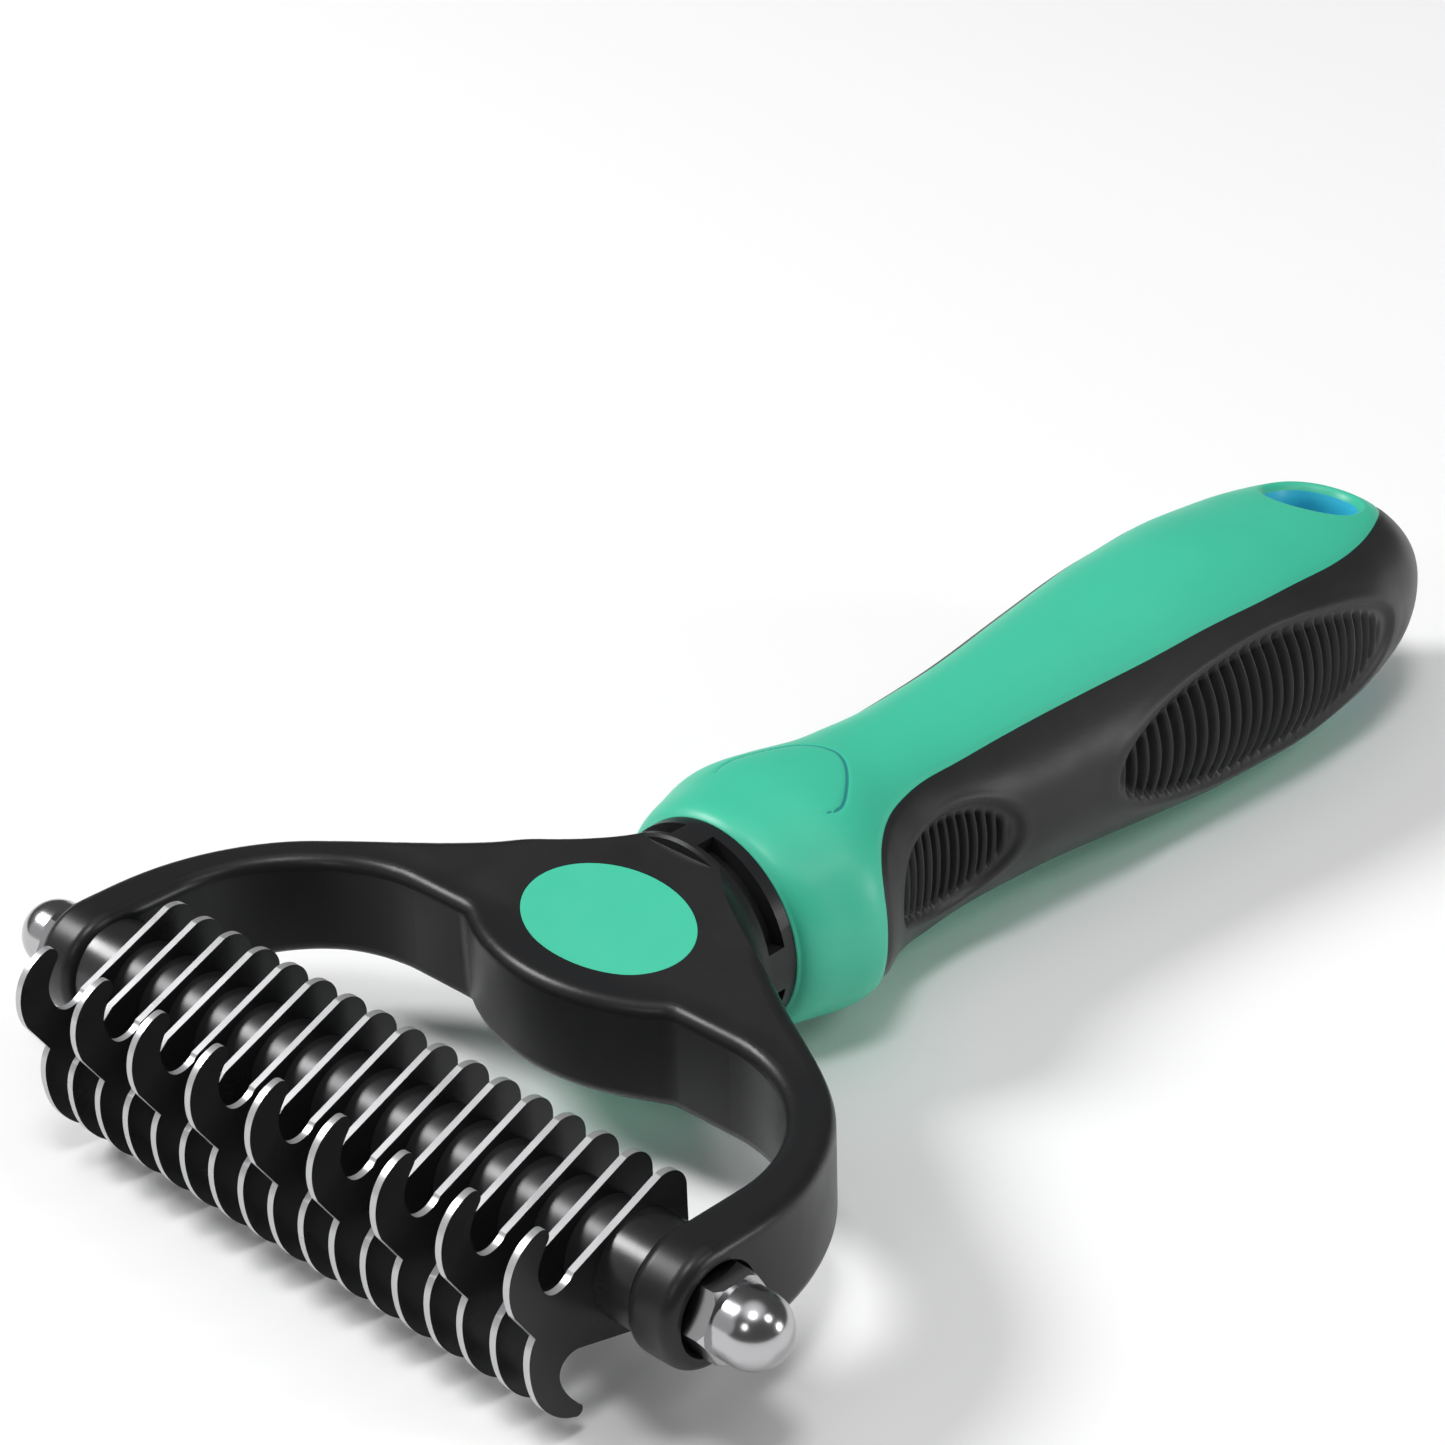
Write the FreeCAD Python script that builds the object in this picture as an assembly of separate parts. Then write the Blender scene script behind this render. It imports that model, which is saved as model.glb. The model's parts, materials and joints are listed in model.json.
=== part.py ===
import FreeCAD, Part
import math
import os

# Double-sided deshedding rake: a row of hooked blades on a keyed axle, held in
# a moulded yoke, with a two-material handle. Millimetres throughout.
# The model is drawn with the axle centre at (0, 0, 0): X along the axle,
# +Y towards the heel of the handle, +Z up. It is moved to the part frame
# (origin at the bottom centre of the whole tool) just before export.

V = FreeCAD.Vector

# ---- blade pack -------------------------------------------------------------
pitch = 4.35            # blade spacing along the axle
n_blades = 17           # odd places carry coarse and fine teeth, even only fine
blade_t = 0.8           # sheet thickness
key_af = 5.0            # square axle bar, across flats
key_gap = 0.05          # clearance each side of the bar
spacer_r = 5.0          # outer radius of the spacers between blades
bush_r = 5.5            # outer radius of the two end bushes
bore_r = 3.62           # round bore that clears the corners of the bar

# ---- axle ends and acorn nuts ---------------------------------------------
stud_r = 2.45           # threaded end of the bar (M5)
stud_end = 49.3         # half length of the axle
nut_seat = 43.3         # distance from the centre plane to the nut's seat
nut_af = 8.0            # hexagon across flats
nut_hex_end = 47.6      # end of the hexagon
dome_r = 3.75           # dome radius
dome_c = 49.55          # centre of the dome
nut_bore_r = 2.5
nut_bore_end = 49.8

# ---- yoke -------------------------------------------------------------------
arm_in = 39.5           # inner face of the boss
arm_out = 45.3          # outer face of the boss
arm_h = 5.8             # half thickness of the arms where the faces start to rise
nose_r = 6.4            # rounded end of each arm, about the axle
pocket_r = 4.8          # round pocket that the nut sits in
neck_y = 46.5           # rear face of the yoke, against the handle
wedge_y = 26.0          # where the top face starts to rise to the neck
wedge_slope = 0.295     # rise of the top and bottom faces
wedge_r = 14.0          # blend radius at the start of the rise
edge_r = 1.5            # rounding of the yoke's edges
ring_r = 11.8           # collar ring radius
ring_y = 41.9           # front of the ring
slot_y = (42.7, 45.0)   # groove slots in the ring
slot_depth = 1.9
slot_arcs = ((12.0, 81.0), (99.0, 168.0), (192.0, 261.0), (279.0, 348.0))
shank_r = 7.0           # tenon that enters the handle
shank_end = 74.0

# half outline seen from above, from the boss round to the neck
outer_pts = [(45.3, 0.0), (45.3, 5.5), (44.4, 11.8), (42.1, 17.8), (38.3, 23.3), (33.0, 27.6),
             (26.5, 31.0), (20.5, 34.2), (15.6, 38.0), (12.3, 42.4), (11.0, neck_y)]
# half outline of the opening as corners (x, y, rounding), from the boss over the lobe
lobe_corners = [(arm_in, 25.4, 17.0), (14.6, 25.4, 3.0), (0.0, 16.6, 25.8)]

# ---- badges -------------------------------------------------------------
badge_y = 31.6
badge_rx = 10.9
badge_ry = 6.65
badge_t = 1.2           # depth of the inlay
badge_gap = 0.05

# ---- handle -------------------------------------------------------------
# stations along the handle: (y, half width, half height, squareness of the section)
# squareness is the exponent of a superellipse: 2 is an ellipse
stations = [(46.6, 12.0, 11.9, 2.0), (47.1, 12.8, 12.3, 2.0), (48.4, 13.7, 12.7, 2.0),
            (51.5, 14.7, 13.0, 2.05), (55.5, 15.65, 13.4, 2.1), (59.5, 14.3, 13.3, 2.2),
            (62.8, 12.5, 13.05, 2.25), (66.5, 11.35, 12.5, 2.3), (70.5, 11.05, 12.05, 2.35),
            (75.0, 11.35, 11.75, 2.2), (81.0, 12.0, 11.65, 2.1), (87.0, 12.7, 11.95, 2.0),
            (94.0, 13.3, 12.45, 2.0), (101.0, 14.15, 13.15, 2.0), (109.0, 15.2, 13.85, 2.0),
            (117.0, 16.0, 14.55, 2.0), (124.0, 16.45, 14.7, 2.0), (131.0, 16.7, 14.3, 2.1),
            (138.0, 16.1, 13.55, 2.2), (144.0, 15.1, 12.85, 2.3), (149.2, 13.8, 12.05, 2.35),
            (153.5, 12.6, 11.1, 2.3), (157.3, 10.8, 9.2, 2.2), (160.7, 8.2, 6.4, 2.15),
            (163.1, 5.7, 3.95, 2.1), (164.3, 3.3, 1.95, 2.05), (164.7, 1.5, 0.8, 2.05)]
skin = 2.6              # thickness of the soft grip over the hard core
core_range = (50.0, 161.0)
# edge of the hard strip left bare on top and underneath: (x, y)
strip_pts = [(17.5, 56.3), (15.6, 56.35), (14.5, 56.95), (12.9, 58.4), (10.8, 61.15), (9.25, 64.1), (8.25, 67.6),
             (7.75, 71.75), (7.6, 76.8), (7.7, 83.25), (8.15, 91.1), (8.95, 98.7), (9.65, 104.8),
             (10.25, 111.2), (10.7, 116.65), (11.1, 122.3), (11.4, 128.1), (11.4, 135.85),
             (10.9, 141.9), (9.6, 147.7), (8.0, 151.95), (5.25, 156.5), (2.6, 158.6), (0.0, 159.3)]
recesses = ((122.2, 25.9, 8.4), (71.8, 10.7, 6.1))  # oval finger recesses: (y, half length, half height)
recess_depth = 0.7
hole_y = 149.8          # hang hole
hole_r = 5.2
bore_clear = 0.05       # tenon clearance in the handle


def spline(points, start=None, end=None):
    curve = Part.BSplineCurve()
    if start:
        curve.interpolate(Points=[V(*p) for p in points], InitialTangent=V(*start), FinalTangent=V(*end))
    else:
        curve.interpolate([V(*p) for p in points])
    return curve.toShape()


def line(a, b):
    return Part.makeLine(V(*a), V(*b))


def arc(a, b, c):
    return Part.Arc(V(*a), V(*b), V(*c)).toShape()


def rounded_path(corners):
    """Lines through (point, rounding) corners with a tangent arc at each inner corner."""
    edges = []
    last = corners[0][0]
    for before, corner, after in zip(corners, corners[1:], corners[2:]):
        apex, radius = corner
        back = (before[0] - apex).normalize()
        ahead = (after[0] - apex).normalize()
        half = back.getAngle(ahead) / 2
        reach = radius / math.tan(half)
        middle = apex + (back + ahead).normalize() * (radius / math.sin(half) - radius)
        start = apex + back * reach
        end = apex + ahead * reach
        edges.append(Part.makeLine(last, start))
        edges.append(Part.Arc(start, middle, end).toShape())
        last = end
    edges.append(Part.makeLine(last, corners[-1][0]))
    return edges


def mirror_x(points):
    return [(-p[0],) + tuple(p[1:]) for p in points]


def prism(edges, direction):
    return Part.Face(Part.Wire(Part.__sortEdges__(edges))).extrude(V(*direction))


def cylinder_x(radius, x0, x1):
    return Part.makeCylinder(radius, x1 - x0, V(x0, 0, 0), V(1, 0, 0))


def cylinder_y(radius, y0, y1):
    return Part.makeCylinder(radius, y1 - y0, V(0, y0, 0), V(0, 1, 0))


def square_bar(af, x0, x1):
    return Part.makeBox(x1 - x0, af, af, V(x0, -af / 2, -af / 2))


def hexagon_bar(af, x0, x1):
    r = af / math.sqrt(3.0)
    corners = [V(x0, r * math.cos(math.radians(a)), r * math.sin(math.radians(a)))
               for a in range(0, 361, 60)]
    return Part.Face(Part.makePolygon(corners)).extrude(V(x1 - x0, 0, 0))


# ---- blades -----------------------------------------------------------------
def blade(x, double):
    """One sheet blade in the plane x, drawn as (y, z) points."""
    def at(points):
        return [(x - blade_t / 2, p[0], p[1]) for p in points]

    step = (-12.8, -1.1)
    lower_outer = [step, (-13.5, -2.4), (-13.75, -4.0), (-13.6, -6.0), (-13.0, -8.1), (-11.8, -10.0),
                   (-10.0, -11.6), (-8.7, -12.25)]
    lower_tip = [(-8.7, -12.25), (-7.75, -12.1), (-8.05, -11.15)]
    lower_inner = [(-8.05, -11.15), (-9.2, -9.6), (-10.0, -8.0), (-10.2, -6.6), (-9.7, -5.6),
                   (-8.8, -5.1), (-7.4, -5.15)]
    heel_low = [(3.2, -8.2), (5.9, -7.3), (6.7, -4.8)]
    heel_top = [(6.6, 4.8), (5.7, 7.1), (3.4, 7.7)]
    edges = [spline(at(lower_outer)), arc(*at(lower_tip)), spline(at(lower_inner)),
             line(*at([(-7.4, -5.15), (3.2, -8.2)])), arc(*at(heel_low)),
             line(*at([(6.7, -4.8), (6.6, 4.8)])), arc(*at(heel_top))]
    if double:
        notch = [(-7.8, 3.3), (-9.2, 2.4), (-10.6, 2.45), (-11.75, 3.9), (-12.0, 5.7),
                 (-11.4, 7.2), (-10.7, 8.2)]
        upper_tip = [(-10.7, 8.2), (-10.55, 9.3), (-11.6, 9.85)]
        upper_outer = [(-11.6, 9.85), (-13.0, 9.35), (-14.4, 8.2), (-15.3, 6.5), (-15.53, 4.6),
                       (-15.05, 2.4)]
        edges += [line(*at([(3.4, 7.7), (-7.8, 3.3)])), spline(at(notch)), arc(*at(upper_tip)),
                  spline(at(upper_outer)), line(*at([(-15.05, 2.4), step]))]
    else:
        edges += [line(*at([(3.4, 7.7), (-7.87, 3.27)])), line(*at([(-7.87, 3.27), step]))]
    sheet = prism(edges, (blade_t, 0, 0))
    return sheet.cut(square_bar(key_af + 2 * key_gap, x - 1, x + 1))


def sleeve(x0, x1, radius):
    return cylinder_x(radius, x0, x1).cut(cylinder_x(bore_r, x0 - 1, x1 + 1))


# ---- axle and nuts ------------------------------------------------------------
def axle():
    shoulder = nut_seat - 0.3
    bar = square_bar(key_af, -shoulder, shoulder)
    return bar.fuse(cylinder_x(stud_r, -stud_end, stud_end)).removeSplitter()


def acorn_nut():
    body = hexagon_bar(nut_af, nut_seat, nut_hex_end)
    corner_r = nut_af / math.sqrt(3.0)
    # the usual 30 degree chamfer on both ends of the hexagon
    chamfer = Part.makeCone(corner_r - 0.35, corner_r + 1.4, 3.0, V(nut_seat, 0, 0), V(1, 0, 0))
    back = Part.makeCone(corner_r + 1.4, corner_r - 0.35, 3.0, V(nut_hex_end - 3.0, 0, 0), V(1, 0, 0))
    body = body.common(chamfer.fuse(cylinder_x(corner_r + 1, nut_seat + 1.2, nut_hex_end)))
    body = body.common(back.fuse(cylinder_x(corner_r + 1, nut_seat, nut_hex_end - 1.2)))
    body = body.fuse(cylinder_x(dome_r, nut_hex_end - 0.5, dome_c))
    body = body.fuse(Part.makeSphere(dome_r, V(dome_c, 0, 0)))
    return body.cut(cylinder_x(nut_bore_r, nut_seat - 1, nut_bore_end)).removeSplitter()


# ---- yoke -------------------------------------------------------------------
def wedge_height(y):
    return arm_h + wedge_slope * (y - wedge_y)


def yoke_side_profile():
    """Side view: round nose at the axle, arms tapering a little, faces rising to the neck."""
    taper = (nose_r - arm_h) / wedge_y
    taper = (nose_r * math.hypot(1.0, taper) - arm_h) / wedge_y
    lean = math.atan(taper)
    x = -60.0
    edges = [arc((x, nose_r * math.sin(lean), nose_r * math.cos(lean)), (x, -nose_r, 0),
                 (x, nose_r * math.sin(lean), -nose_r * math.cos(lean)))]
    for s in (1, -1):
        edges += rounded_path([(V(x, nose_r * math.sin(lean), s * nose_r * math.cos(lean)), 0),
                               (V(x, wedge_y, s * arm_h), wedge_r),
                               (V(x, neck_y, s * wedge_height(neck_y)), 0)])
    edges.append(line((x, neck_y, wedge_height(neck_y)), (x, neck_y, -wedge_height(neck_y))))
    return prism(edges, (120, 0, 0))


def yoke_plan():
    """Top view: the outer outline, the two-lobed opening and the blunt arm ends."""
    z = -20.0
    front = -12.0
    corners = [(arm_in, front, 0)] + lobe_corners + mirror_x(lobe_corners[:-1])[::-1]
    corners.append((-arm_in, front, 0))
    edges = rounded_path([(V(x, y, z), radius) for x, y, radius in corners])
    for side in (1, -1):
        outer = [(side * x, y, z) for x, y in outer_pts]
        edges.append(spline(outer, (0, 1, 0), (0, 1, 0)))
        edges.append(line(outer[0], (side * arm_out, front, z)))
        edges.append(line((side * arm_out, front, z), (side * arm_in, front, z)))
    edges.append(line((outer_pts[-1][0], neck_y, z), (-outer_pts[-1][0], neck_y, z)))
    return prism(edges, (0, 0, 40))


def neck_flare():
    """Material outside this flare is cut away so the neck runs into the ring."""
    def radius(y):
        return ring_r + 0.12 * (43.0 - y) ** 2

    ys = [30.0, 33.0, 36.0, 39.0, 41.0, 43.0]
    curve = spline([(radius(y), y, 0) for y in ys])
    edges = [curve, line((ring_r, 43, 0), (ring_r, 50, 0)), line((ring_r, 50, 0), (60, 50, 0)),
             line((60, 50, 0), (60, 30, 0)), line((60, 30, 0), (radius(30.0), 30, 0))]
    face = Part.Face(Part.Wire(Part.__sortEdges__(edges)))
    return face.revolve(V(0, 0, 0), V(0, 1, 0), 360)


def ring():
    """Collar ring, standing a little proud of the faces that run into it."""
    rim = 0.3
    corners = [(0, ring_y), (ring_r - rim, ring_y), (ring_r, ring_y + rim), (ring_r, neck_y), (0, neck_y)]
    points = [V(x, y, 0) for x, y in corners]
    face = Part.Face(Part.makePolygon(points + points[:1]))
    return face.revolve(V(0, 0, 0), V(0, 1, 0), 360)


def ring_slots():
    """Curved slot cutters; angles run from +X towards +Z."""
    tools = []
    y0, y1 = slot_y
    r0, r1 = ring_r - slot_depth, ring_r + 2.0
    for a0, a1 in slot_arcs:
        corners = [V(r0, y0, 0), V(r1, y0, 0), V(r1, y1, 0), V(r0, y1, 0), V(r0, y0, 0)]
        face = Part.Face(Part.makePolygon(corners))
        face.rotate(V(0, 0, 0), V(0, -1, 0), a0)
        tools.append(face.revolve(V(0, 0, 0), V(0, -1, 0), a1 - a0))
    return tools


def badge_shape(grow, top, side):
    """Oval inlay square to the sloping face; side is +1 for top, -1 for underneath.

    It runs from badge_t below the face to top above it.
    """
    ellipse = Part.Ellipse(V(0, 0, top), badge_rx + grow, badge_ry + grow).toShape()
    oval = Part.Face(Part.Wire([ellipse])).extrude(V(0, 0, -badge_t - top))
    oval.rotate(V(0, 0, 0), V(1, 0, 0), math.degrees(math.atan(wedge_slope)))
    oval.translate(V(0, badge_y, wedge_height(badge_y)))
    if side < 0:
        oval = oval.mirror(V(0, 0, 0), V(0, 0, 1))
    return oval


def yoke():
    body = yoke_plan().common(yoke_side_profile())
    # the rims run fore and aft; seams across the faces and upright corners don't
    rims = [e for e in body.Edges if e.BoundBox.YLength > 0.01]
    body = body.makeFillet(edge_r, rims)
    body = body.cut(neck_flare())
    body = body.fuse(ring())
    body = body.fuse(cylinder_y(shank_r, 40.0, shank_end))
    for tool in ring_slots():
        body = body.cut(tool)
    for side in (1, -1):
        x0, x1 = sorted((side * nut_seat, side * 60.0))
        body = body.cut(cylinder_x(pocket_r, x0, x1))
        x0, x1 = sorted((side * 36.0, side * 60.0))
        body = body.cut(square_bar(key_af + 2 * key_gap, x0, x1))
        body = body.cut(badge_shape(badge_gap, 2.0, side))
    return body.removeSplitter()


# ---- handle -----------------------------------------------------------------
def skin_ring(y, rx, rz, squareness, count=24):
    """Closed smooth section at y; the same number of points in every section."""
    def part(value):
        return math.copysign(abs(value) ** (2 / squareness), value)

    turns = [2 * math.pi * i / count for i in range(count)]
    curve = Part.BSplineCurve()
    curve.interpolate(Points=[V(rx * part(math.cos(t)), y, rz * part(math.sin(t))) for t in turns],
                      PeriodicFlag=True)
    return Part.Wire([curve.toShape()])


def handle_body(inset, y0, y1):
    rings = []
    for y, rx, rz, squareness in stations:
        if y0 <= y <= y1 and rz - inset >= 0.8:
            rings.append(skin_ring(y, rx - inset, rz - inset, squareness))
    return Part.makeLoft(rings, True, False)


def bare_strip():
    z = -20.0
    right = [(x, y, z) for x, y in strip_pts]
    left = mirror_x(right)
    front = 40.0
    edges = [spline(right), spline(left), line(right[0], (20, right[0][1], z)),
             line((20, right[0][1], z), (20, front, z)), line((20, front, z), (-20, front, z)),
             line((-20, front, z), (-20, right[0][1], z)), line((-20, right[0][1], z), left[0])]
    return prism(edges, (0, 0, 40))


def handle():
    """Returns the hard core and the soft grip round it."""
    whole = handle_body(0.0, 0.0, 200.0)
    hole = Part.makeCylinder(hole_r, 60, V(0, hole_y, -30))
    inner = handle_body(skin, core_range[0], core_range[1])
    strip = bare_strip()
    skin_part = whole.cut(strip).cut(inner)
    grip = skin_part
    floor = handle_body(recess_depth, 0.0, 200.0)
    for y, half_length, half_height in recesses:
        rim = Part.Ellipse(V(-30, y + half_length, 0), V(-30, y, half_height), V(-30, y, 0)).toShape()
        grip = grip.cut(Part.Face(Part.Wire([rim])).extrude(V(60, 0, 0)).cut(floor))
    core = whole.cut(skin_part)
    core = core.cut(hole)
    core = core.cut(cylinder_y(shank_r + bore_clear, 40.0, shank_end + 1.0))
    return core, grip.cut(hole)


def main():
    parts = {}
    parts["fork_yoke"] = yoke()
    parts["axle_rod"] = axle()
    nut = acorn_nut()
    parts["acorn_nut_right"] = nut
    parts["acorn_nut_left"] = nut.mirror(V(0, 0, 0), V(1, 0, 0))
    parts["badge_top"] = badge_shape(0.0, 0.0, 1)
    parts["badge_bottom"] = badge_shape(0.0, 0.0, -1)
    middle = (n_blades + 1) / 2
    count = {True: 0, False: 0}
    for i in range(1, n_blades + 1):
        double = i % 2 == 1
        count[double] += 1
        name = "%s_blade_%02d" % ("double" if double else "single", count[double])
        parts[name] = blade((i - middle) * pitch, double)
    for i in range(1, n_blades):
        x0 = (i - middle) * pitch + blade_t / 2
        parts["blade_spacer_%02d" % i] = sleeve(x0, x0 + pitch - blade_t, spacer_r)
    last = (n_blades - middle) * pitch + blade_t / 2
    parts["end_bush_right"] = sleeve(last, arm_in, bush_r)
    parts["end_bush_left"] = sleeve(-arm_in, -last, bush_r)
    parts["handle_core"], parts["grip_overmould"] = handle()

    box = FreeCAD.BoundBox()
    for shape in parts.values():
        box.add(shape.optimalBoundingBox(True))
    shift = V(-(box.XMin + box.XMax) / 2, -(box.YMin + box.YMax) / 2, -box.ZMin)
    os.makedirs("parts", exist_ok=True)
    for name in sorted(parts):
        shape = parts[name]
        shape.translate(shift)
        solids = len(shape.Solids)
        print("%-18s solids %d valid %s volume %.2f" % (name, solids, shape.isValid(), shape.Volume))
        shape.exportStep("parts/%s.step" % name)
    print("size %.2f %.2f %.2f shift %.3f %.3f %.3f" % (box.XLength, box.YLength, box.ZLength,
                                                      shift.x, shift.y, shift.z))


main()
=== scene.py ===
import json
import math

import bpy
import numpy as np
from mathutils import Matrix, Vector


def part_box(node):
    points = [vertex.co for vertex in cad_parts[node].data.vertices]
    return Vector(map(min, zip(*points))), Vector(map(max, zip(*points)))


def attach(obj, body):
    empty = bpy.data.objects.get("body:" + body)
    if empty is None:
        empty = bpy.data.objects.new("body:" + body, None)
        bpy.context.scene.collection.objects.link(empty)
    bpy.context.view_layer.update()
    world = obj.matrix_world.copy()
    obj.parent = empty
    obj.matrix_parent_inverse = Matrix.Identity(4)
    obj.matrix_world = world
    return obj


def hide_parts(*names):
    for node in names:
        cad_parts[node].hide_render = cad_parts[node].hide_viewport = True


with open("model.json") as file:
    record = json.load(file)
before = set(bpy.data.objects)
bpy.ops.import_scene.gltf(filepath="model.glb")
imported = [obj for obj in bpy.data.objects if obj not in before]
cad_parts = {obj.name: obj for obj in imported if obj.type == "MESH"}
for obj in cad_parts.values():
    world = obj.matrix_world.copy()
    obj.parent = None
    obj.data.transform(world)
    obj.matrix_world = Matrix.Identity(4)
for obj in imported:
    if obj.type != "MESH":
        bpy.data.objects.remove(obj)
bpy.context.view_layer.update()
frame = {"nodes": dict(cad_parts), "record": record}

nodes = frame["nodes"]
MM = 0.001
axle_low, axle_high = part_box("axle_rod")
AXLE = (Vector(axle_low) + Vector(axle_high)) / 2        # centre of the blade axle

# ---- colours and finishes ----------------------------------------------------
GREEN = (0.05, 0.52, 0.335)
BLACK = (0.013, 0.013, 0.014)
RUBBER = (0.018, 0.018, 0.019)
BLADE_FACE = (0.03, 0.03, 0.031)
BLADE_EDGE = (0.5, 0.5, 0.51)
EDGE_TURN = (0.76, 0.62)        # |X| of the surface direction where a blade's face becomes its edge
TONE_SCALE = 35.0               # size of the soft tone patches
SMEAR_SCALE = 6.0 * TONE_SCALE  # size of the patches of uneven gloss
GRAIN_DEPTH = 0.04 * MM
SHARP_ANGLE = 32.0
# rounding of small sheet and turned pieces in mm, by the start of the node's name
BEVELS = {"double_blade": 0.27, "single_blade": 0.27, "blade_spacer": 0.3, "end_bush": 0.35}
BEVEL_SEGMENTS = 4
BEVEL_ANGLE = 50.0

# ---- handle, in millimetres from the axle -------------------------------------
# sections (y, half width, half height, squareness), as in the solid model
STATIONS = [(46.6, 12.0, 11.9, 2.0), (47.1, 12.8, 12.3, 2.0), (48.4, 13.7, 12.7, 2.0),
            (51.5, 14.7, 13.0, 2.05), (55.5, 15.65, 13.4, 2.1), (59.5, 14.3, 13.3, 2.2),
            (62.8, 12.5, 13.05, 2.25), (66.5, 11.35, 12.5, 2.3), (70.5, 11.05, 12.05, 2.35),
            (75.0, 11.35, 11.75, 2.2), (81.0, 12.0, 11.65, 2.1), (87.0, 12.7, 11.95, 2.0),
            (94.0, 13.3, 12.45, 2.0), (101.0, 14.15, 13.15, 2.0), (109.0, 15.2, 13.85, 2.0),
            (117.0, 16.0, 14.55, 2.0), (124.0, 16.45, 14.7, 2.0), (131.0, 16.7, 14.3, 2.1),
            (138.0, 16.1, 13.55, 2.2), (144.0, 15.1, 12.85, 2.3), (149.2, 13.8, 12.05, 2.35),
            (153.5, 12.6, 11.1, 2.3), (157.3, 10.8, 9.2, 2.2), (160.7, 8.2, 6.4, 2.15),
            (163.1, 5.7, 3.95, 2.1), (164.3, 3.3, 1.95, 2.05), (164.7, 1.5, 0.8, 2.05)]
# sections of the front face towards the yoke, from its bore outwards
FRONT = [(46.55, 7.3, 7.3, 2.0), (46.5, 9.5, 9.5, 2.0), (46.5, 11.5, 11.4, 2.0), (46.52, 12.0, 11.8, 2.0)]
PLAIN_ROWS = 6                  # first rows of the mesh, which carry no moulded detail
# edge of the bare hard strip on top and underneath (x, y), as in the solid model
STRIP = [(17.5, 56.3), (15.6, 56.35), (14.5, 56.95), (12.9, 58.4), (10.8, 61.15), (9.25, 64.1), (8.25, 67.6),
         (7.75, 71.75), (7.6, 76.8), (7.7, 83.25), (8.15, 91.1), (8.95, 98.7), (9.65, 104.8),
         (10.25, 111.2), (10.7, 116.65), (11.1, 122.3), (11.4, 128.1), (11.4, 135.85),
         (10.9, 141.9), (9.6, 147.7), (8.0, 151.95), (5.25, 156.5), (2.6, 158.6), (0.0, 159.3)]
COLLAR_END = 56.3               # in front of this the hard core goes all the way round
STRIP_END = 159.3
SEAM_DEPTH, SEAM_WIDTH = 0.16, 0.55
# inlaid thumb line on top, just behind the collar
THUMB = [(-6.6, 54.0), (-6.9, 57.0), (-5.6, 60.2), (-2.6, 63.9), (0.6, 64.8), (3.9, 63.0), (6.7, 59.8),
         (7.9, 57.2), (7.7, 56.0)]
THUMB_HALF, THUMB_DEPTH = 0.17, 0.12
# finger recesses: (y, half length, half height), the same for the ribbed part, rib spacing
RECESSES = [((122.2, 25.9, 8.4), (121.0, 24.3, 8.0), 1.82), ((71.8, 10.7, 6.1), (71.3, 9.7, 5.4), 1.36)]
RECESS_DEPTH, RECESS_EDGE = 0.75, 0.6
RIB_DEPTH, RIB_FADE, RIB_POWER = 1.4, 0.7, 0.85     # groove depth, run-out at the ends, groove width
LIP_HEIGHT, LIP_WIDTH = 0.05, 0.35                  # faint raised lip round each recess
RIBBED_SPANS = ((59.0, 84.0), (95.0, 149.0))
FINE_STEP, COARSE_STEP = 0.2, 0.42                  # mesh spacing along the handle
COLUMNS = 256
HOLE_Y, HOLE_R = 149.8, 5.2                         # hang hole
RIM, DROP = 1.35, 2.6                               # width and depth of its rounded rim
HOLE_COLUMNS, RIM_STEPS, WALL_STEPS = 96, 6, 9
FAR = 9.0                                           # distance given to points that a line never reaches

# ---- camera and studio --------------------------------------------------------
AZIMUTH, ELEVATION, ROLL = math.radians(44.55), math.radians(28.69), math.radians(-1.8)
EYE = (234.6, -189.5, 205.6)    # from the axle, in mm
LENS, SENSOR = 94.15, 36.0
FLOOR_HALF = 4.0
FLOOR_TONE = 0.9
CEILING_HEIGHT = (0.8, 1.0)     # the surroundings climb from dark walls to a bright ceiling between these
WALL_LIGHT, CEILING_LIGHT = 0.1, 1.0
# lamps: name, direction from the axle, distance and diameter in metres, power in watts
LAMPS = [("key", (-0.66, -0.3, 0.7), 1.4, 0.5, 14.0),
         ("front", (0.2, -0.75, 0.63), 1.3, 0.35, 1.2),
         ("top", (0.21, -0.2, 0.96), 1.4, 0.35, 5.2),
         ("right_high", (0.64, 0.26, 0.72), 1.4, 0.4, 2.2),
         ("right_low", (0.82, 0.52, 0.22), 1.4, 0.35, 4.0),
         ("low_panel", (-0.62, -0.73, 0.32), 1.6, 1.3, 1.8)]


def place(points):
    """Millimetres from the axle centre to metres in the row frame."""
    return np.asarray(points, float) * MM + np.array(AXLE)


# ---- materials ----------------------------------------------------------------
def add_noise(tree, coord, scale, detail):
    noise = tree.nodes.new("ShaderNodeTexNoise")
    noise.inputs["Scale"].default_value = scale
    noise.inputs["Detail"].default_value = detail
    tree.links.new(coord.outputs["Object"], noise.inputs["Vector"])
    return noise


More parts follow.
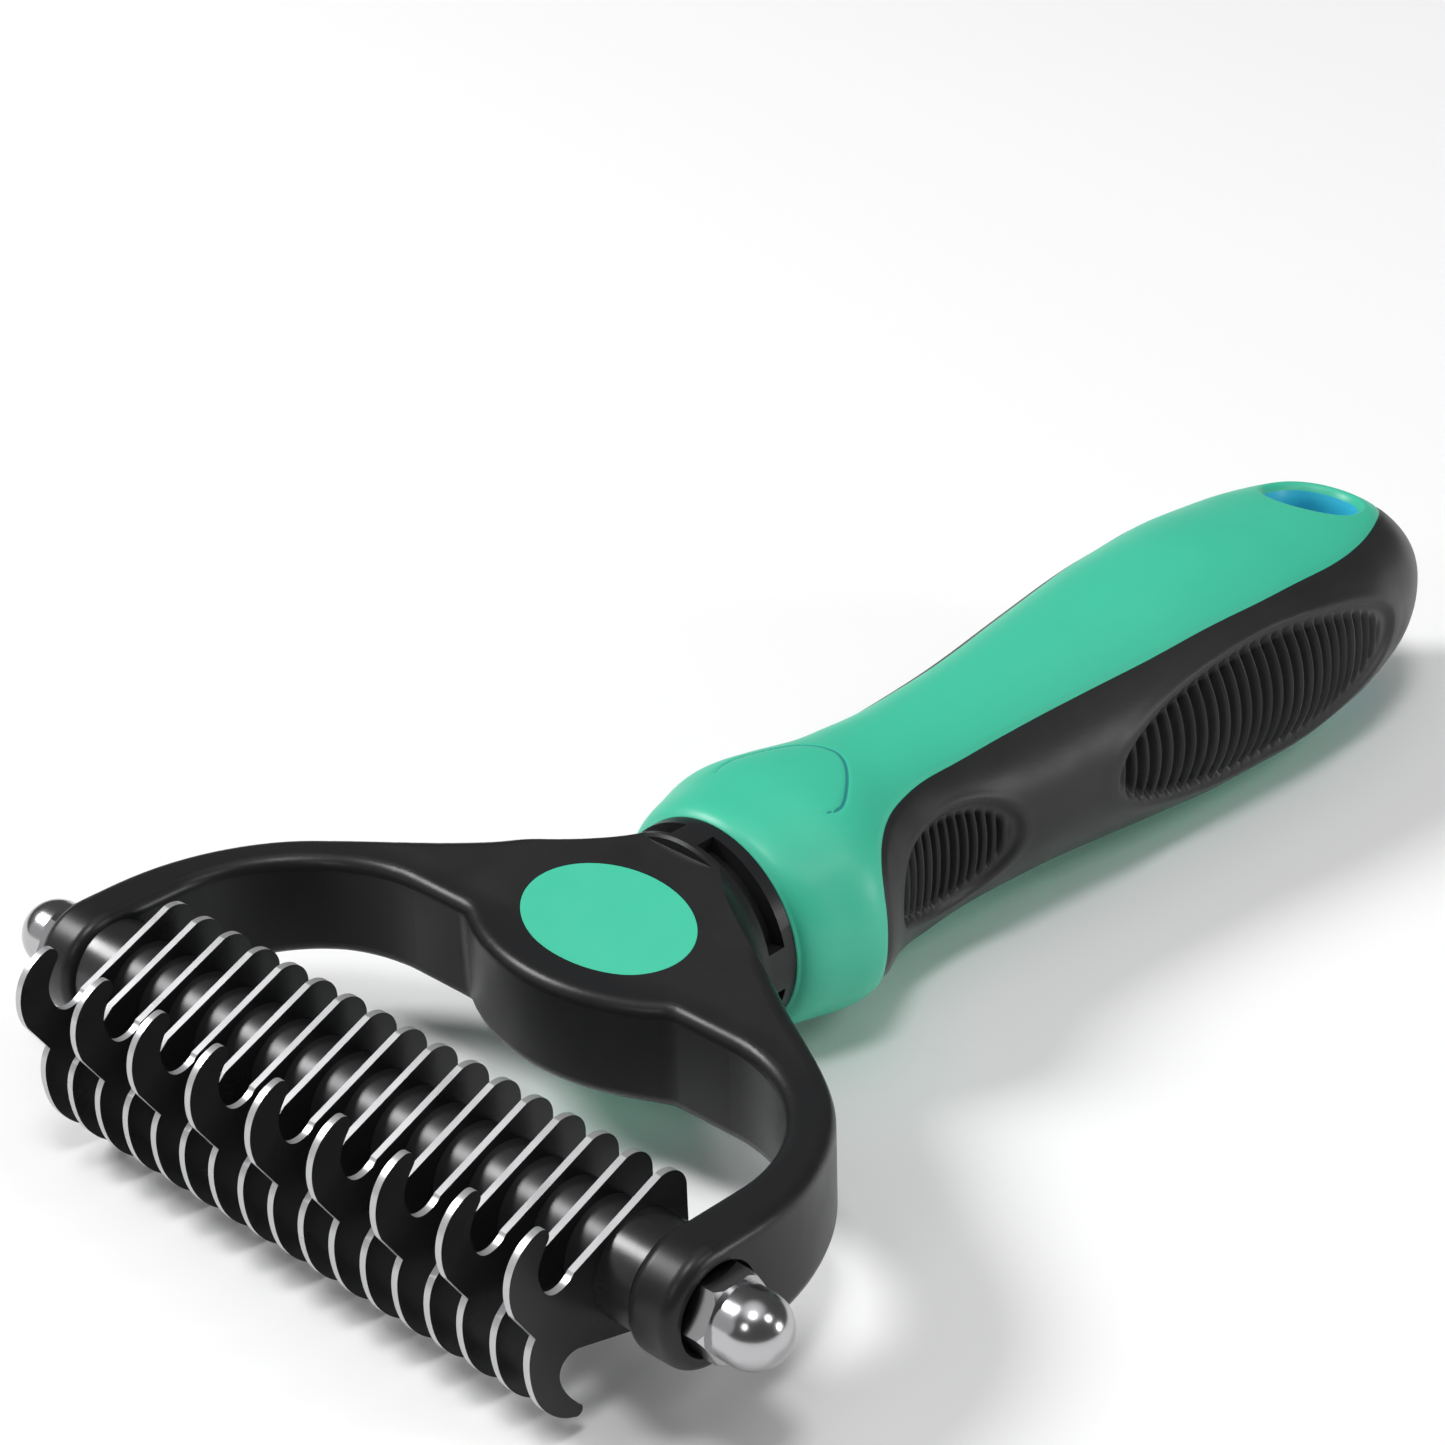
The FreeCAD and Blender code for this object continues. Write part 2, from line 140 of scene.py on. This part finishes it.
def new_material(name, color, rough, metallic=0.0, vary=0.06, rough_vary=0.08, bump=0.1,
                 bump_scale=900.0, specular=0.5, sheen=0.0):
    """Moulded or plated surface: soft tone variation, uneven gloss and a fine surface grain."""
    m = bpy.data.materials.new(name)
    m.use_nodes = True
    t = m.node_tree
    bsdf = t.nodes["Principled BSDF"]
    bsdf.inputs["Metallic"].default_value = metallic
    bsdf.inputs["Specular IOR Level"].default_value = specular
    bsdf.inputs["Sheen Weight"].default_value = sheen
    bsdf.inputs["Sheen Roughness"].default_value = 0.4
    coord = t.nodes.new("ShaderNodeTexCoord")

    tone = add_noise(t, coord, TONE_SCALE, 4.0)
    ramp = t.nodes.new("ShaderNodeValToRGB")
    ramp.color_ramp.elements[0].position = 0.3
    ramp.color_ramp.elements[0].color = [c * (1.0 - vary) for c in color] + [1.0]
    ramp.color_ramp.elements[1].position = 0.7
    ramp.color_ramp.elements[1].color = [min(1.0, c * (1.0 + vary)) for c in color] + [1.0]
    t.links.new(tone.outputs["Fac"], ramp.inputs["Fac"])
    t.links.new(ramp.outputs["Color"], bsdf.inputs["Base Color"])

    smear = add_noise(t, coord, SMEAR_SCALE, 3.0)
    span = t.nodes.new("ShaderNodeMapRange")
    span.inputs["To Min"].default_value = max(0.02, rough - rough_vary)
    span.inputs["To Max"].default_value = min(1.0, rough + rough_vary)
    t.links.new(smear.outputs["Fac"], span.inputs["Value"])
    t.links.new(span.outputs["Result"], bsdf.inputs["Roughness"])

    grain = add_noise(t, coord, bump_scale, 2.0)
    surface = t.nodes.new("ShaderNodeBump")
    surface.inputs["Strength"].default_value = bump
    surface.inputs["Distance"].default_value = GRAIN_DEPTH
    t.links.new(grain.outputs["Fac"], surface.inputs["Height"])
    t.links.new(surface.outputs["Normal"], bsdf.inputs["Normal"])
    return m


def blade_material():
    """Dark-finished sheet faces with bright ground edges, told apart by the face direction."""
    m = new_material("blade_steel", BLADE_FACE, 0.3, metallic=0.6, bump=0.02)
    t = m.node_tree
    base = t.nodes["Principled BSDF"].inputs["Base Color"]
    face_tone = base.links[0].from_socket
    geometry = t.nodes.new("ShaderNodeNewGeometry")
    split = t.nodes.new("ShaderNodeSeparateXYZ")
    t.links.new(geometry.outputs["Normal"], split.inputs["Vector"])
    size = t.nodes.new("ShaderNodeMath")
    size.operation = "ABSOLUTE"
    t.links.new(split.outputs["X"], size.inputs[0])
    edge = t.nodes.new("ShaderNodeMapRange")
    edge.inputs["From Min"].default_value = EDGE_TURN[0]
    edge.inputs["From Max"].default_value = EDGE_TURN[1]
    t.links.new(size.outputs["Value"], edge.inputs["Value"])
    mix = t.nodes.new("ShaderNodeMix")
    mix.data_type = "RGBA"
    t.links.new(edge.outputs["Result"], mix.inputs["Factor"])
    t.links.new(face_tone, mix.inputs["A"])
    mix.inputs["B"].default_value = (*BLADE_EDGE, 1.0)
    t.links.new(mix.outputs["Result"], base)
    return m


mats = {
    "core_green": new_material("core_green", GREEN, 0.42, vary=0.03, bump=0.12),
    "badge_green": new_material("badge_green", GREEN, 0.36, vary=0.02, bump=0.06),
    "yoke_black": new_material("yoke_black", BLACK, 0.34, vary=0.12, bump=0.12, specular=0.3),
    "spacer_black": new_material("spacer_black", BLACK, 0.38, vary=0.12, bump=0.06, specular=0.6),
    "bush_black": new_material("bush_black", BLACK, 0.28, vary=0.12, bump=0.08, specular=0.6),
    "grip_rubber": new_material("grip_rubber", RUBBER, 0.4, vary=0.12, bump=0.25,
                                bump_scale=2200.0, specular=0.3, sheen=0.03),
    "nut_chrome": new_material("nut_chrome", (0.48, 0.48, 0.49), 0.2, metallic=1.0, rough_vary=0.05,
                               bump=0.02),
    "axle_steel": new_material("axle_steel", (0.5, 0.5, 0.5), 0.3, metallic=1.0),
    "hole_teal": new_material("hole_teal", (0.04, 0.5, 0.7), 0.42, vary=0.04, bump=0.1),
    "line_teal": new_material("line_teal", (0.02, 0.25, 0.24), 0.45, vary=0.04, bump=0.08),
    "blade_steel": blade_material(),
}


def finish_nodes():
    """Materials for the solid model's pieces, and rounded edges on the small ones."""
    slots = {s["node"]: s["material_slot"] for s in frame["record"]["subparts"]}
    for name, obj in nodes.items():
        obj.data.materials.clear()
        obj.data.materials.append(mats[slots[name]])
        obj.data.shade_smooth()
        obj.data.set_sharp_from_angle(angle=math.radians(SHARP_ANGLE))
        for start, width in BEVELS.items():
            if name.startswith(start):
                bevel = obj.modifiers.new("rounded_edges", "BEVEL")
                bevel.width = width * MM
                bevel.segments = BEVEL_SEGMENTS
                bevel.limit_method = "ANGLE"
                bevel.angle_limit = math.radians(BEVEL_ANGLE)
                bevel.use_clamp_overlap = False
                bevel.harden_normals = False


# ---- curves and fields --------------------------------------------------------
def natural_spline(points):
    """Smooth curve through points. Returns a function of chord length, and the whole length."""
    p = np.asarray(points, float)
    s = np.concatenate([[0.0], np.cumsum(np.linalg.norm(np.diff(p, axis=0), axis=1))])
    n = len(p)
    h = np.diff(s)
    a = np.zeros((n, n))
    b = np.zeros((n, p.shape[1]))
    a[0, 0] = a[-1, -1] = 1.0
    for i in range(1, n - 1):
        a[i, i - 1:i + 2] = h[i - 1], 2 * (h[i - 1] + h[i]), h[i]
        b[i] = 6 * ((p[i + 1] - p[i]) / h[i] - (p[i] - p[i - 1]) / h[i - 1])
    m = np.linalg.solve(a, b)

    def at(q):
        q = np.atleast_1d(q)
        i = np.clip(np.searchsorted(s, q, side="right") - 1, 0, n - 2)
        u = (q - s[i])[:, None]
        w = (s[i + 1] - q)[:, None]
        k = h[i][:, None]
        bend = (m[i] * w ** 3 + m[i + 1] * u ** 3) / (6 * k)
        return bend + (p[i] / k - m[i] * k / 6) * w + (p[i + 1] / k - m[i + 1] * k / 6) * u
    return at, s[-1]


def sampled(points, count):
    at, length = natural_spline(points)
    return at(np.linspace(0, length, count))


def smooth(x, a, b):
    t = np.clip((x - a) / (b - a), 0.0, 1.0)
    return t * t * (3 - 2 * t)


def distance_to(line, px, py):
    """Distance from points to a polyline."""
    best = np.full(px.shape, 1e9)
    for (ax, ay), (bx, by) in zip(line[:-1], line[1:]):
        ex, ey = bx - ax, by - ay
        t = np.clip(((px - ax) * ex + (py - ay) * ey) / (ex * ex + ey * ey + 1e-12), 0.0, 1.0)
        best = np.minimum(best, np.hypot(px - ax - t * ex, py - ay - t * ey))
    return best


def strip_field(x, y):
    """Signed distance to the edge of the bare strip: negative on the hard core."""
    edge = np.vstack([[[40.0, COLLAR_END]], sampled(STRIP, 260)])
    ax = np.abs(x)
    best = distance_to(edge, ax, y)
    ring = np.vstack([edge, [[-1.0, STRIP_END], [-1.0, 30.0], [40.0, 30.0], edge[0]]])
    inside = np.zeros(x.shape, bool)
    for (x0, y0), (x1, y1) in zip(ring[:-1], ring[1:]):
        if y0 != y1:
            cross = (y0 > y) != (y1 > y)
            inside ^= cross & (ax < (x1 - x0) * (y - y0) / (y1 - y0) + x0)
    return np.where(inside, -best, best)


def thumb_distance(x, y, z):
    """Distance to the thumb line, which is on the top side only."""
    return np.where(z > 0, distance_to(sampled(THUMB, 90), x, y), FAR)


def recess_relief(y, z):
    """Height of the ribbed finger recesses over the plain side of the handle."""
    d = np.zeros(y.shape)
    for (cy, a, b), (ry, ra, rb), pitch in RECESSES:
        edge = (1.0 - np.hypot((y - cy) / a, z / b)) * b
        inner = (1.0 - np.hypot((y - ry) / ra, z / rb)) * rb
        wave = 0.5 + 0.5 * np.cos(2 * math.pi * (y - ry) / pitch)
        d -= RECESS_DEPTH * smooth(edge, 0.0, RECESS_EDGE)
        d -= RIB_DEPTH * smooth(inner, 0.0, RIB_FADE) * wave ** RIB_POWER
        d += LIP_HEIGHT * np.exp(-((edge + LIP_WIDTH) / LIP_WIDTH) ** 2)
    return d


# ---- mesh helpers -------------------------------------------------------------
def clip_faces(verts, faces, field):
    """Splits a face list along field = 0 into the low and the high side. The list verts grows."""
    cut = {}

    def between(i, j):
        key = (min(i, j), max(i, j))
        if key not in cut:
            f = field[i] / (field[i] - field[j])
            verts.append(tuple(verts[i][k] + f * (verts[j][k] - verts[i][k]) for k in range(3)))
            cut[key] = len(verts) - 1
        return cut[key]

    def part_of(face, sign):
        poly = []
        for i, j in zip(face, face[1:] + face[:1]):
            if sign * field[i] >= 0:
                poly.append(i)
            if field[i] * field[j] < 0:
                poly.append(between(i, j))
        return tuple(poly)

    low, high = [], []
    for face in faces:
        values = [field[i] for i in face]
        if max(values) <= 0:
            low.append(face)
        elif min(values) >= 0:
            high.append(face)
        else:
            for sign, side in ((-1, low), (1, high)):
                poly = part_of(face, sign)
                if len(poly) > 2:
                    side.append(poly)
    return low, high


def make_object(name, verts, faces, material, stands_for=()):
    used = sorted({i for f in faces for i in f})
    index = {v: k for k, v in enumerate(used)}
    mesh = bpy.data.meshes.new(name)
    mesh.from_pydata([tuple(verts[i]) for i in used], [], [tuple(index[i] for i in f) for f in faces])
    mesh.validate()
    mesh.shade_smooth()
    obj = bpy.data.objects.new(name, mesh)
    bpy.context.scene.collection.objects.link(obj)
    mesh.materials.append(material)
    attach(obj, "root")
    if stands_for:
        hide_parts(*stands_for)
    return obj


# ---- handle -------------------------------------------------------------------
def handle_rows(at, length):
    """Sections along the handle, closer together where there are ribs."""
    s = [0.0]
    while s[-1] < length:
        y = at(s[-1])[0, 0]
        ribbed = any(start < y < end for start, end in RIBBED_SPANS)
        s.append(s[-1] + (FINE_STEP if ribbed else COARSE_STEP))
    s[-1] = length
    return np.vstack([FRONT, at(np.array(s))])


def surface_normals(grid, c, sn):
    """Outward unit normals of a closed grid of sections."""
    du = np.gradient(grid, axis=0)
    dv = (np.roll(grid, -1, axis=1) - np.roll(grid, 1, axis=1)) / 2
    normal = np.cross(dv, du)
    normal /= np.linalg.norm(normal, axis=-1, keepdims=True) + 1e-12
    outward = np.sign(normal[..., 0] * c + normal[..., 2] * sn)
    return normal * np.where(outward == 0, 1, outward)[..., None]


def handle_surface(rows):
    """Displaced grid of the handle, with its seam and thumb-line fields."""
    angle = 2 * math.pi * np.arange(COLUMNS) / COLUMNS
    c, sn = np.cos(angle), np.sin(angle)
    power = 2.0 / rows[:, 3:4]
    x = rows[:, 1:2] * np.sign(c) * np.abs(c) ** power
    y = rows[:, :1] + 0 * c
    z = rows[:, 2:3] * np.sign(sn) * np.abs(sn) ** power
    grid = np.stack([x, y, z], -1)
    seam = strip_field(x, y)
    thumb = thumb_distance(x, y, z)
    side_on = smooth(np.abs(c), 0.25, 0.5)
    height = side_on * recess_relief(y, z)
    height = height - SEAM_DEPTH * (1 - smooth(np.abs(seam), 0.0, SEAM_WIDTH))
    height = height - THUMB_DEPTH * (1 - smooth(thumb, 0.05, 0.3))
    height[:PLAIN_ROWS] = 0.0
    grid = grid + surface_normals(grid, c, sn) * height[..., None]
    return grid, seam, thumb


def grid_faces(row_count):
    """Quads round the handle, and a fan that closes the heel on one last point."""
    faces = []
    for i in range(row_count - 1):
        for j in range(COLUMNS):
            k = (j + 1) % COLUMNS
            faces.append((i * COLUMNS + j, i * COLUMNS + k, (i + 1) * COLUMNS + k, (i + 1) * COLUMNS + j))
    last = (row_count - 1) * COLUMNS
    for j in range(COLUMNS):
        faces.append((last + j, last + (j + 1) % COLUMNS, row_count * COLUMNS))
    return faces


def build_handle(rows):
    """Hard core, soft grip and inlaid line, cut from one displaced surface."""
    grid, seam, thumb = handle_surface(rows)
    verts = [tuple(v) for v in grid.reshape(-1, 3)]
    verts.append((0.0, rows[-1, 0], 0.0))
    core, grip = clip_faces(verts, grid_faces(len(rows)), list(seam.reshape(-1)) + [FAR])
    hole = [math.hypot(v[0], v[1] - HOLE_Y) - (HOLE_R + RIM) for v in verts]
    core = clip_faces(verts, core, hole)[1]
    line = list(thumb.reshape(-1)) + [FAR]
    new = np.array(verts[len(line):])
    line = np.array(line + list(thumb_distance(new[:, 0], new[:, 1], new[:, 2])))
    inlay, core = clip_faces(verts, core, line - THUMB_HALF)
    metres = place(verts)
    make_object("thumb_line", metres, inlay, mats["line_teal"])
    make_object("handle_core_skin", metres, core, mats["core_green"], ("handle_core",))
    make_object("grip_skin", metres, grip, mats["grip_rubber"], ("grip_overmould",))


def hole_column(angle, height):
    """Points down the hang hole at one angle: rounded rim, wall, and the same again underneath."""
    ca, sa = math.cos(angle), math.sin(angle)

    def point(r, z):
        return (r * ca, HOLE_Y + r * sa, z)

    def surface(r):
        return height(r * ca, HOLE_Y + r * sa)

    tuck = HOLE_R + RIM + 0.12          # starts just under the handle's surface
    top = surface(HOLE_R + RIM) + 0.005
    column = [point(tuck, surface(tuck) - 0.03)]
    for k in range(RIM_STEPS + 1):
        t = math.radians(90.0 * k / RIM_STEPS)
        column.append(point(HOLE_R + RIM * (1 - math.sin(t)), top - DROP * (1 - math.cos(t))))
    for k in range(1, WALL_STEPS + 1):
        column.append(point(HOLE_R, (top - DROP) * (1 - k / WALL_STEPS)))
    return column + [(x, y, -z) for x, y, z in column[-2::-1]]


def build_hole(at, length):
    """Rounded rim and wall of the hang hole."""
    samples = at(np.linspace(0, length, 4000))

    def height(x, y):
        w, h, e = (np.interp(y, samples[:, 0], samples[:, k]) for k in (1, 2, 3))
        return h * (1 - (abs(x) / w) ** e) ** (1 / e)

    columns = [hole_column(2 * math.pi * j / HOLE_COLUMNS, height) for j in range(HOLE_COLUMNS)]
    count = len(columns[0])
    rim_rows = 4                        # the rest of the rounding has the wall's colour
    rims, walls = [], []
    for j in range(HOLE_COLUMNS):
        k = (j + 1) % HOLE_COLUMNS
        for i in range(count - 1):
            face = (j * count + i, j * count + i + 1, k * count + i + 1, k * count + i)
            on_rim = i < rim_rows or i >= count - 1 - rim_rows
            (rims if on_rim else walls).append(face)
    metres = place([p for column in columns for p in column])
    make_object("hang_hole_rim", metres, rims, mats["core_green"])
    make_object("hang_hole_wall", metres, walls, mats["hole_teal"])


# ---- camera and studio --------------------------------------------------------
def add_camera():
    right = Vector((math.cos(AZIMUTH), math.sin(AZIMUTH), 0))
    level = Vector((-math.sin(AZIMUTH), math.cos(AZIMUTH), 0)) * math.cos(ELEVATION)
    ahead = level - Vector((0, 0, math.sin(ELEVATION)))
    up = right.cross(ahead)
    rolled_right = right * math.cos(ROLL) + up * math.sin(ROLL)
    rolled_up = up * math.cos(ROLL) - right * math.sin(ROLL)
    data = bpy.data.cameras.new("camera")
    data.sensor_width = SENSOR
    data.lens = LENS
    data.clip_start = 0.01
    data.clip_end = 20.0
    camera = bpy.data.objects.new("camera", data)
    bpy.context.scene.collection.objects.link(camera)
    turn = Matrix((rolled_right, rolled_up, -ahead)).transposed()
    camera.matrix_world = Matrix.Translation(AXLE + Vector(EYE) * MM) @ turn.to_4x4()
    bpy.context.scene.camera = camera


def add_floor():
    """Plain pale paper."""
    h = FLOOR_HALF
    mesh = bpy.data.meshes.new("floor")
    mesh.from_pydata([(-h, -h, 0), (h, -h, 0), (h, h, 0), (-h, h, 0)], [], [(0, 1, 2, 3)])
    floor = bpy.data.objects.new("floor", mesh)
    bpy.context.scene.collection.objects.link(floor)
    paper = bpy.data.materials.new("floor_paper")
    paper.use_nodes = True
    bsdf = paper.node_tree.nodes["Principled BSDF"]
    bsdf.inputs["Base Color"].default_value = (FLOOR_TONE, FLOOR_TONE, FLOOR_TONE, 1)
    bsdf.inputs["Roughness"].default_value = 0.8
    bsdf.inputs["Specular IOR Level"].default_value = 0.1
    mesh.materials.append(paper)


def add_surroundings():
    """Studio with dark walls and a bright ceiling."""
    world = bpy.data.worlds.new("studio")
    bpy.context.scene.world = world
    world.use_nodes = True
    t = world.node_tree
    coord = t.nodes.new("ShaderNodeTexCoord")
    split = t.nodes.new("ShaderNodeSeparateXYZ")
    t.links.new(coord.outputs["Generated"], split.inputs["Vector"])
    climb = t.nodes.new("ShaderNodeMapRange")
    climb.interpolation_type = "SMOOTHSTEP"
    climb.inputs["From Min"].default_value = CEILING_HEIGHT[0]
    climb.inputs["From Max"].default_value = CEILING_HEIGHT[1]
    climb.inputs["To Min"].default_value = WALL_LIGHT
    climb.inputs["To Max"].default_value = CEILING_LIGHT
    t.links.new(split.outputs["Z"], climb.inputs["Value"])
    t.links.new(climb.outputs["Result"], t.nodes["Background"].inputs["Strength"])
    t.nodes["Background"].inputs["Color"].default_value = (1, 1, 1, 1)
    bpy.context.scene.view_settings.view_transform = "Standard"


def add_lamp(name, direction, distance, size, power):
    """Round soft lamp that faces the axle."""
    data = bpy.data.lights.new(name, "AREA")
    data.shape = "DISK"
    data.energy = power
    data.size = size
    lamp = bpy.data.objects.new(name, data)
    bpy.context.scene.collection.objects.link(lamp)
    lamp.location = AXLE + Vector(direction).normalized() * distance
    lamp.rotation_euler = (-Vector(direction)).to_track_quat("-Z", "Y").to_euler()


finish_nodes()
handle_at, handle_length = natural_spline(STATIONS)
build_handle(handle_rows(handle_at, handle_length))
build_hole(handle_at, handle_length)
add_camera()
add_floor()
add_surroundings()
for lamp_settings in LAMPS:
    add_lamp(*lamp_settings)
